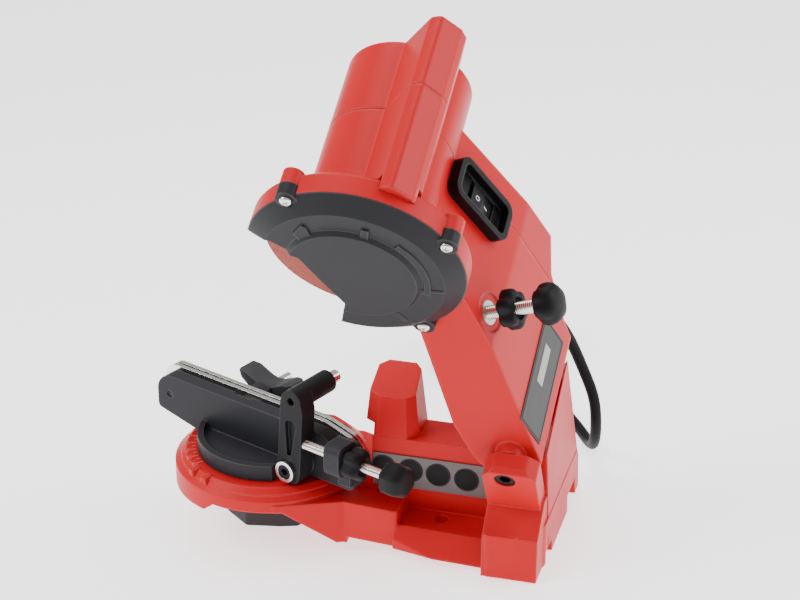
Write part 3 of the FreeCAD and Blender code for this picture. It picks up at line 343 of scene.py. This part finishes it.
cap_back = along(head_place, (wheel_x, wheel_y, -125.5), (0, 0, -1))
cap_radius, cap_rim, vent_pitch, vent_half = 30.0, 3.0, 7.2, 1.2
vents = []
for i in range(-3, 4):
    level = i * vent_pitch
    near = 11.5 if abs(i) < 2 else 2.0
    far = math.sqrt(cap_radius ** 2 - level ** 2) - cap_rim
    for x0, x1 in ((near, far), (-far, -near)):
        vents.append((strip_of(x0, level - vent_half, x1, level + vent_half), -0.3, 0.15))
# painted shade: black sheets on the cap's end stand for the dark inside of the air slots
piece("cap_vents", *slabs(vents), cap_back, black, "arm", "black_plastic")


# ---- guard and wheel cover -------------------------------------------------
# The guard is a red shell round the wheel. Its cover is a charcoal moulding with a stepped face
# and spokes, held by three screws through the ears on the guard's rim.

dress(["guard_shell"], red)
charcoal = moulded("charcoal nylon", paint(38, 38, 41), paint(104, 105, 110), 0.46, grain=0.16,
                   corner=0.0011, mottle=0.06)
dress(["wheel_cover"], charcoal)


def sector(inner, outer, first, last, steps=24):
    """A curved strip about the wheel's axis, as an outline in the head's frame."""
    angles = [math.radians(first + (last - first) * i / steps) for i in range(steps + 1)]
    return [(wheel_x + r * math.cos(a), wheel_y + r * math.sin(a))
            for r, edge in ((outer, angles), (inner, angles[::-1])) for a in edge]


def raised(name, outline, low, high, draft):
    """A field moulded on the cover's face, with drafted sides."""
    count = len(outline)
    area = sum(outline[i][0] * outline[(i + 1) % count][1]
               - outline[(i + 1) % count][0] * outline[i][1] for i in range(count))
    top = []
    for i in range(count):
        before, here, after = (Vector(outline[(i + k) % count]) for k in (-1, 0, 1))
        ahead = (here - before).normalized() + (after - here).normalized()
        inward = Vector((-ahead.y, ahead.x)).normalized() * (draft if area > 0 else -draft)
        top.append((here.x + inward.x, here.y + inward.y))
    corners = [(x, y, low) for x, y in outline] + [(x, y, high) for x, y in top]
    return piece(name, corners, lids(0, count) + band(0, count), head_place, charcoal, "arm",
                 "charcoal_plastic")


raised("cover_step", sector(38.4, 43.5, -17, 47), 7.0, 8.4, 0.9)
spokes = (
    ([(51.2, 190.5), (57.4, 199.2), (60.4, 197.6), (63.5, 184.5), (55.5, 181.0)], 7.0, 8.7, 0.9),
    ([(87.2, 190.0), (90.4, 201.2), (95.4, 200.4), (93.2, 189.0)], 7.0, 8.7, 0.9),
    ([(114.0, 147.6), (129.5, 149.6), (129.0, 152.2), (115.5, 151.4)], 6.0, 8.0, 0.7),
    ([(97.4, 124.8), (103.2, 117.4), (105.6, 119.6), (100.2, 127.0)], 6.0, 8.0, 0.7))
for i, spoke in enumerate(spokes):
    raised("cover_spoke_%d" % (i + 1), *spoke)


# ---- cover screws ----------------------------------------------------------
# Three zinc-plated pan-head screws with a cross recess, driven into the guard's ears. Each
# recess is cut out of the head's mesh.

bright = metal("bright zinc steel", paint(226, 224, 218), 0.16)
screw_profile = [(0, -13.5), (1.0, -13.0), (1.9, -11.6), (1.9, 2.4), (3.5, 2.4), (3.65, 2.8),
                 (3.5, 3.5), (3.0, 4.1), (2.2, 4.5), (1.0, 4.68), (0, 4.7)]
arm, half = 1.7, 0.45
cross = [(half, arm), (-half, arm), (-half, half), (-arm, half), (-arm, -half), (-half, -half),
         (-half, -arm), (half, -arm), (half, -half), (arm, -half), (arm, half), (half, half)]
ear_ring = 60.2
for i, angle in enumerate((119.3, 26.7, -58.5)):
    x = wheel_x + ear_ring * math.cos(math.radians(angle))
    y = wheel_y + ear_ring * math.sin(math.radians(angle))
    spot = along(head_place, (x, y, 0), (0, 0, 1))
    screw = turned("screw_%d" % (i + 1), screw_profile, spot, bright, "arm", "bright_steel")
    cutter = piece("screw_cutter", *slabs([(spun(cross, 0.5 + i), 3.2, 6.0)]), spot, black_oxide,
                   "arm", "dark_steel")
    carve = screw.modifiers.new("recess", "BOOLEAN")
    carve.object = cutter
    carve.solver = "EXACT"
    bpy.context.view_layer.update()
    carved = screw.evaluated_get(bpy.context.evaluated_depsgraph_get())
    cut_mesh = bpy.data.meshes.new_from_object(carved)
    screw.modifiers.clear()
    screw.data = cut_mesh
    bpy.data.objects.remove(cutter)
    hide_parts("cover_screw_%d" % (i + 1))


# ---- grinding wheel and its mounting ---------------------------------------
# The wheel is pink-brown aluminium oxide in a vitrified bond, clamped between two steel flanges
# by a hexagon nut.

def gritty(name, colour, grain_colour):
    """Bonded abrasive: coloured grains in a darker bond, rough to the touch."""
    finish, shader, tree = blank(name)
    place = knit(tree, "TexCoord").outputs["Object"]
    cells = knit(tree, "TexVoronoi", Vector=place, Scale=1400.0).outputs["Distance"]
    tone = knit(tree, "Mix", Factor=cells, A=grain_colour, B=colour).outputs["Result"]
    relief = knit(tree, "Bump", Strength=0.7, Distance=0.0003, Height=cells).outputs["Normal"]
    feed(tree, shader, Base_Color=tone, Roughness=0.92, Normal=relief)
    return finish


dress(["grinding_wheel"], gritty("aluminium oxide", paint(126, 52, 44), paint(176, 92, 80)))
turned_steel = metal("turned steel", paint(190, 190, 192), 0.25)
dress(["inner_flange", "outer_flange", "wheel_nut"], turned_steel)


# ---- motor -----------------------------------------------------------------
# A universal motor: laminated stator and rotor, copper commutator and a moulded fan on one shaft,
# which turns in two ball bearings.

dress(["motor_shaft", "front_bearing", "rear_bearing"], turned_steel)
iron = metal("laminated iron", paint(120, 118, 116), 0.45, 0.3, (0.1, 0.1, 1.0))
dress(["motor_stator", "rotor"], iron)
dress(["commutator"], metal("commutator copper", paint(200, 116, 78), 0.3))
dress(["cooling_fan"], black)


# ---- switch ----------------------------------------------------------------
# A rocker switch behind a thick black frame that is screwed to the arm's back face. O and I are
# printed in white on the rocker.

switch_black = moulded("switch black", paint(15, 15, 17), paint(66, 68, 72), 0.36, grain=0.1,
                       corner=0.0012)
dress(["switch_frame"], switch_black)
dress(["switch_body"], black)
rocker_black = moulded("rocker black", paint(22, 22, 25), paint(60, 60, 64), 0.3, corner=0.0005)
dress(["switch_rocker"], rocker_black)


def facing(x, y, z):
    """A turn that lays a frame's X, Y and Z along three directions."""
    return Matrix((x, y, z)).transposed().to_4x4()


# the arm's back face falls from its top to a bend; the switch's frame has X down along it
back_top, back_bend = Vector((108.5, 171, 0)), Vector((147.5, 91, 0))
down = (back_bend - back_top).normalized()
switch_centre = back_top + Vector((0, 0, -68.5)) + down * 43.2
switch_place = head_place @ Matrix.Translation(switch_centre) @ facing(
    down, Vector((0, 0, -1)), Vector((-down.y, down.x, 0)))

printed = moulded("white print", paint(222, 222, 220), paint(222, 222, 220), 0.5, corner=0.0001)
mark_long, mark_wide, mark_shift = 1.9, 1.45, -1.6
oval = ring_of(1.0, 32)
off_corners = [(x * mark_long * scale + mark_shift, y * mark_wide * scale, level)
               for scale, level in ((1.0, 2.55), (1.0, 2.7), (0.66, 2.7), (0.66, 2.55))
               for x, y in oval]
piece("rocker_off_mark", off_corners, band(0, len(oval), 3), switch_place, printed, "rocker",
      "label_grey")
rocker_level, rocker_tilt, slope_start = 2.6, -0.2, 3
on_corners = [(x, y, rocker_level + rocker_tilt * (x - slope_start) + lift)
              for lift in (-0.05, 0.1) for x, y in strip_of(6.0, -0.35, 10.0, 0.35)]
piece("rocker_on_mark", on_corners, lids(0, 4) + band(0, 4), switch_place, printed, "rocker",
      "label_grey")


# ---- depth screw -----------------------------------------------------------
# A zinc-plated M8 screw through a threaded insert sets how deep the head swings. A star lock nut
# and a domed star knob, both black nylon, are on it.

def threaded(name, radius, pitch, low, high, place, body, count=28):
    """A zinc-plated rod with its helical thread cut in the mesh and its ends chamfered."""
    rows = int((high - low) / pitch * 4)
    corners = []
    for k in range(rows + 1):
        z = low + (high - low) * k / rows
        chamfer = 0.7 if k in (0, rows) else 0
        for i in range(count):
            phase = (z / pitch - i / count) % 1.0
            r = radius - 0.36 * pitch * abs(2 * phase - 1) - chamfer
            a = 2 * math.pi * i / count
            corners.append((r * math.cos(a), r * math.sin(a), z))
    return piece(name, corners, band(0, count, rows) + lids(0, count, rows), place, bright, body,
                 "bright_steel", 60)


rise = math.radians(24.4)
depth_place = along(head_place, (142.9, 98.0, -18.0), (math.cos(rise), math.sin(rise), 0))
rod = threaded("depth_thread", 4.0, 1.25, -40, 33.8, depth_place, "depth_screw")
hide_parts("depth_screw")
dress(["depth_insert"], metal("threaded insert", paint(196, 190, 176), 0.3))

knob_black = moulded("knob black", paint(23, 22, 24), paint(62, 62, 66), 0.5, grain=0.2,
                     corner=0.0004, mottle=0.08)


def star(lobes, depth, turn=0.0):
    """A round outline with notches between its lobes, as a factor on the radius."""
    return lambda a: 1 - depth * (0.5 - 0.5 * math.cos(lobes * (a - turn))) ** 1.3


def gripped(name, rows, outline, place, body, count=96):
    """A black knob lofted along its axis; a row is (height, radius, how much of the outline)."""
    corners = []
    for height, radius, share in rows:
        for i in range(count):
            a = 2 * math.pi * i / count
            r = radius * (1 + (outline(a) - 1) * share)
            corners.append((r * math.cos(a), r * math.sin(a), height))
    faces = band(0, count, len(rows) - 1) + lids(0, count, len(rows) - 1)
    return piece(name, corners, faces, place, knob_black, body, "black_plastic", 50)


lock = gripped("depth_lock_star",
               [(9.5, 6.5, 0), (9.7, 7.6, 0.3), (10.6, 10.6, 1), (11.6, 11.6, 1), (13.5, 11.8, 1),
                (17.2, 11.7, 1), (18.6, 11.0, 1), (19.4, 9.8, 0.8), (19.5, 6.6, 0.2),
                (17.4, 5.8, 0), (17.2, 4.4, 0)],
               star(6, 0.17, 0.3), depth_place, "depth_lock")
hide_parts("depth_lock_knob")
knob = gripped("depth_star",
               [(32.0, 4.6, 0), (32.1, 7.0, 0), (33.0, 9.4, 0.6), (34.6, 11.2, 1), (37.0, 11.9, 1),
                (39.6, 11.9, 0.85), (42.2, 11.2, 0.6), (44.2, 9.6, 0.35), (45.4, 7.0, 0.15),
                (45.9, 3.6, 0), (46.0, 1.0, 0)],
               star(6, 0.13), depth_place, "depth_knob")
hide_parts("depth_knob")


# ---- rating plate ----------------------------------------------------------
# A grey foil plate on the arm's back face, below the bend. It is left blank but for a printed
# border and one empty pale field.

plate_grey = sheet_metal("foil grey", paint(62, 61, 61), 0.55, (1.0, 0.08, 0.08))
dress(["rating_plate"], plate_grey)
back_foot = Vector((174.5, 12.6, 0))
up = (back_bend - back_foot).normalized()
plate_corner = back_foot + up * 9.0 + Vector((0, 0, -54))
plate_place = head_place @ Matrix.Translation(plate_corner) @ facing(
    up, Vector((0, 0, -1)), Vector((up.y, -up.x, 0)))

print_dark = moulded("plate print", paint(34, 34, 36), paint(50, 50, 52), 0.5, corner=0.0001)
print_foot = 0.5
border = [(strip_of(*edge), print_foot, 0.72)
          for edge in ((0.9, -70.1, 1.5, -0.9), (25.5, -70.1, 26.1, -0.9),
                       (1.5, -70.1, 25.5, -69.5), (1.5, -1.5, 25.5, -0.9))]
piece("plate_border", *slabs(border), plate_place, print_dark, "arm", "black_plastic")
pale_print = moulded("pale print", paint(176, 175, 172), paint(176, 175, 172), 0.5, corner=0.0001)
field = (strip_of(12.5, -40.0, 19.5, -14.0), print_foot, 0.7)
piece("plate_field", *slabs([field]), plate_place, pale_print, "arm", "label_grey")


# ---- turntable and jaws ----------------------------------------------------
# The turning disc, the near jaw and the boss for the adjusting screw are one charcoal moulding,
# clamped from below by a stud and a grey knob. Two steel rails hold the chain; the far one closes
# with a jaw on a screw.

vise_black = moulded("vise charcoal", paint(44, 44, 48), paint(104, 105, 110), 0.48, grain=0.18,
                     corner=0.0012, mottle=0.06)
dress(["turntable", "far_jaw"], vise_black)
rail_steel = metal("rolled rail steel", paint(232, 230, 224), 0.14, 0.04, (0.15, 1.0, 1.0))
dress(["near_rail", "far_rail"], rail_steel)
dress(["rail_screw"], black_oxide)
grey = moulded("grey nylon", paint(56, 57, 59), paint(104, 105, 108), 0.5, grain=0.2,
               corner=0.0014)
dress(["swivel_knob"], grey)
dress(["clamp_screw", "swivel_stud", "swivel_washer"], bright)


# ---- wing knob -------------------------------------------------------------
# The grey nylon wing knob closes the far jaw. It is a hub with two ears that rise like a saddle,
# the same on both sides.

# the vise's own frame is the base's, turned with the vise
vise_place = (Matrix.Translation((swivel_x, 0, 0))
              @ Matrix.Rotation(math.radians(-22), 4, "Z") @ mm)
saddle = [(0.0, 3.4), (-5.0, 4.0), (-11.0, 6.6), (-17.0, 9.4), (-20.2, 9.6), (-21.6, 7.6),
          (-20.6, 4.2), (-13.0, -1.6), (-9.0, -5.6), (-5.0, -8.2), (0.0, -8.9)]
saddle += [(-x, y) for x, y in saddle[-2:0:-1]]
wing_corners = [(x * shrink, y * shrink, level)
                for level, shrink in ((1.0, 0.9), (2.4, 1.0), (14.4, 1.0), (16.2, 0.88))
                for x, y in saddle]
wing_place = vise_place @ Matrix.Translation((-25.0, 21.0, 52.5)) @ facing(
    (1, 0, 0), (0, 0, 1), (0, 1, 0))
wing = piece("clamp_wings", wing_corners, band(0, len(saddle), 3) + lids(0, len(saddle), 3),
             wing_place, grey, "clamp_knob", "grey_plastic")
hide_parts("clamp_knob")


# ---- stop lever ------------------------------------------------------------
# A black lever with a long boss holds the steel pin against the chain's link. It pivots on a
# socket bolt with a bright washer.

lever_black = moulded("lever black", paint(26, 27, 29), paint(76, 77, 82), 0.44, grain=0.16,
                      corner=0.0014)
dress(["stop_lever"], lever_black)
dress(["lever_bolt"], black_oxide)
dress(["lever_ring", "stop_pin"], bright)


# ---- adjusting screw -------------------------------------------------------
# An M6 screw through the clamp boss pushes the lever, with a star lock nut and a hexagon knob of
# black nylon.

adjust_place = along(vise_place, (50.8, -28.8, 62.6), (1, 0, 0))
push = threaded("adjust_thread", 3.0, 1.0, 0.0, 63.8, adjust_place, "adjust_screw", 24)
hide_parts("adjust_screw")
nut = gripped("adjust_lock_star",
              [(32.8, 5.2, 0), (33.0, 6.6, 0.3), (34.0, 9.2, 1), (35.4, 10.0, 1), (41.0, 10.0, 1),
               (43.0, 9.4, 1), (44.4, 8.0, 0.7), (44.8, 6.0, 0.2), (43.6, 5.0, 0), (43.4, 3.4, 0)],
              star(5, 0.2), adjust_place, "adjust_lock")
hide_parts("adjust_lock_knob")


def hexagonal(a):
    """Six flats with rounded corners, as a factor on the radius."""
    part = (a + math.pi / 6) % (math.pi / 3) - math.pi / 6
    return min(1.0, 0.905 / math.cos(part))


grip = gripped("adjust_hexagon",
               [(60.0, 4.4, 0), (60.1, 6.6, 0.3), (61.4, 8.8, 1), (63.4, 10.2, 1), (70.5, 10.2, 1),
                (73.6, 9.6, 1), (75.4, 8.2, 0.8), (76.0, 5.6, 0.4), (76.0, 1.0, 0)],
               hexagonal, adjust_place @ Matrix.Rotation(math.pi / 6, 4, "Z"), "adjust_knob")
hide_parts("adjust_knob")


# ---- mains cord ------------------------------------------------------------
# Round 7 mm rubber cord, stated as 1.8 m; the curve drawn here measures 1.66 m. It leaves the arm
# on the hinge's axis through a gland, hangs behind the base and runs to a coil of six turns in
# three layers, with its plug on top.

dress(["cord_gland", "cord_grommet"], black)
rubber = moulded("cord rubber", paint(17, 17, 19), paint(44, 45, 48), 0.55, grain=0.25,
                 corner=0.0003, mottle=0.08)
dress(["cord_plug"], rubber)
route = [(160.5, 27.5, 118.8), (160.5, 46.5, 119.3), (163.4, 63.8, 109.9), (170.2, 73.0, 93.5),
         (179.0, 76.0, 71.5), (187.3, 74.2, 53.0), (189.0, 74.0, 33.5), (186.6, 83.2, 15.7),
         (180.6, 103.0, 3.7), (169.0, 123.0, 3.7), (153.0, 146.0, 3.7), (134.0, 168.0, 3.7),
         (111.0, 184.5, 3.7), (86.0, 190.5, 3.7)]
# (radius, height) of each turn of the coil, wound clockwise from the lead's end; the cord crosses
# to the next turn in the last part of each
coil_x, coil_y = 86.0, 226.0
turns = [(35.5, 3.7), (42.6, 3.7), (39.0, 9.8), (31.9, 9.8), (31.9, 16.9), (39.0, 16.9)]
points_a_turn, crossing = 16, 0.3
for t in range(1, points_a_turn * len(turns) + 1):
    at = t / points_a_turn
    k = min(int(at), len(turns) - 1)
    here, after = turns[k], turns[min(k + 1, len(turns) - 1)]
    share = max(0.0, (at - k - (1 - crossing)) / crossing)
    share = share * share * (3 - 2 * share)
    radius = here[0] + (after[0] - here[0]) * share
    height = here[1] + (after[1] - here[1]) * share
    a = math.radians(-90) - 2 * math.pi * at
    route.append((coil_x + radius * math.cos(a), coil_y + radius * math.sin(a), height))
curve = bpy.data.curves.new("mains_cord", "CURVE")
curve.dimensions = "3D"
line = curve.splines.new("NURBS")
line.points.add(len(route) - 1)
for point, at in zip(line.points, route):
    point.co = (*(base_place @ Vector(at)), 1.0)
line.order_u = 3
line.use_endpoint_u = True
line.resolution_u = 6
curve.bevel_depth = 0.0035
curve.bevel_resolution = 5
curve.materials.append(rubber)
flex = bpy.data.objects.new("mains_cord", curve)
bpy.context.scene.collection.objects.link(flex)
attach(flex, "base")
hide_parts("cord_tube", "cord_coil")


def bend(a, b, c, t):
    """A point of the curve that starts at a, is drawn towards b and ends at c."""
    return Vector(a) * (1 - t) ** 2 + Vector(b) * 2 * t * (1 - t) + Vector(c) * t * t


# the strain relief follows the cord's first bend, ringed and tapering away from the arm
halfway = [(Vector(route[k]) + Vector(route[k + 1])) / 2 for k in (1, 2)]
spine = [bend(route[0], route[1], halfway[0], 0.5 + 0.5 * k / 16) for k in range(16)]
spine += [bend(halfway[0], route[2], halfway[1], 0.6 * k / 14) for k in range(15)]
sleeve_sides, last = 24, len(spine) - 1
sleeve_corners = []
for k, here in enumerate(spine):
    ahead = (spine[min(k + 1, last)] - spine[max(k - 1, 0)]).normalized()
    wide = Vector((1, 0, 0)) - ahead * ahead.x
    wide.normalize()
    high = ahead.cross(wide)
    # both ends turn in to the cord, beside the ring next to them
    radius = 3.4 if k in (0, last) else 5.6 - 1.4 * k / last - (0.5 if k % 4 == 2 else 0)
    centre = spine[min(max(k, 1), last - 1)]
    sleeve_corners += [centre + wide * x + high * y for x, y in ring_of(radius, sleeve_sides)]
sleeve = piece("strain_relief", sleeve_corners, band(0, sleeve_sides, last), base_place, rubber,
               "base", "black_rubber")


# ---- studio ----------------------------------------------------------------
# A pale floor that leans with the base, which stands on its knob and its rear edge, and soft
# light from above and from both sides.

floor_mesh = bpy.data.meshes.new("floor")
floor_mesh.from_pydata([(-4, -4, 0), (4, -4, 0), (4, 4, 0), (-4, 4, 0)], [], [(0, 1, 2, 3)])
pale, shader, tree = blank("studio floor")
feed(tree, shader, Base_Color=(0.93, 0.93, 0.93, 1), Roughness=0.4,
     Emission_Color=(1, 1, 1, 1), Emission_Strength=1.5)
floor_mesh.materials.append(pale)
floor = bpy.data.objects.new("floor", floor_mesh)
bpy.context.scene.collection.objects.link(floor)
knob_drop, knob_to_edge = 16.4, 181.5
rear_edge = Matrix.Translation((0.0665, 0, -0.0004))
floor.matrix_world = rear_edge @ Matrix.Rotation(-math.atan2(knob_drop, knob_to_edge), 4, "Y")

world = bpy.data.worlds.new("studio")
bpy.context.scene.world = world
world.use_nodes = True
feed(world.node_tree, world.node_tree.nodes["Background"], Color=(1, 1, 1, 1), Strength=0.58)


def softbox(name, at, target, size, power):
    """A square lamp that shines on a target."""
    lamp = bpy.data.lights.new(name, "AREA")
    lamp.shape = "SQUARE"
    lamp.size = size
    lamp.energy = power
    thing = bpy.data.objects.new(name, lamp)
    bpy.context.scene.collection.objects.link(thing)
    aim = Vector(target) - Vector(at)
    thing.matrix_world = Matrix.Translation(at) @ aim.to_track_quat("-Z", "Y").to_matrix().to_4x4()


softbox("key", (-1.15, -0.55, 1.15), (-0.03, 0, 0.12), 0.8, 19)
softbox("rim", (0.9, 0.3, 0.8), (-0.03, 0, 0.15), 0.6, 9)
softbox("top", (-0.3, 0.4, 1.3), (-0.03, 0, 0.15), 0.8, 9)

lens = bpy.data.cameras.new("camera")
lens.lens = 99.0
lens.sensor_width = 36.0
lens.clip_start = 0.05
camera = bpy.data.objects.new("camera", lens)
bpy.context.scene.collection.objects.link(camera)
backward = Vector((0.241, -0.868, 0.434)).normalized()
right = Vector((0, 0, 1)).cross(backward).normalized()
camera.matrix_world = Matrix.Translation((0.2785, -1.1223, 0.7031)) @ facing(
    right, backward.cross(right), backward)
bpy.context.scene.camera = camera
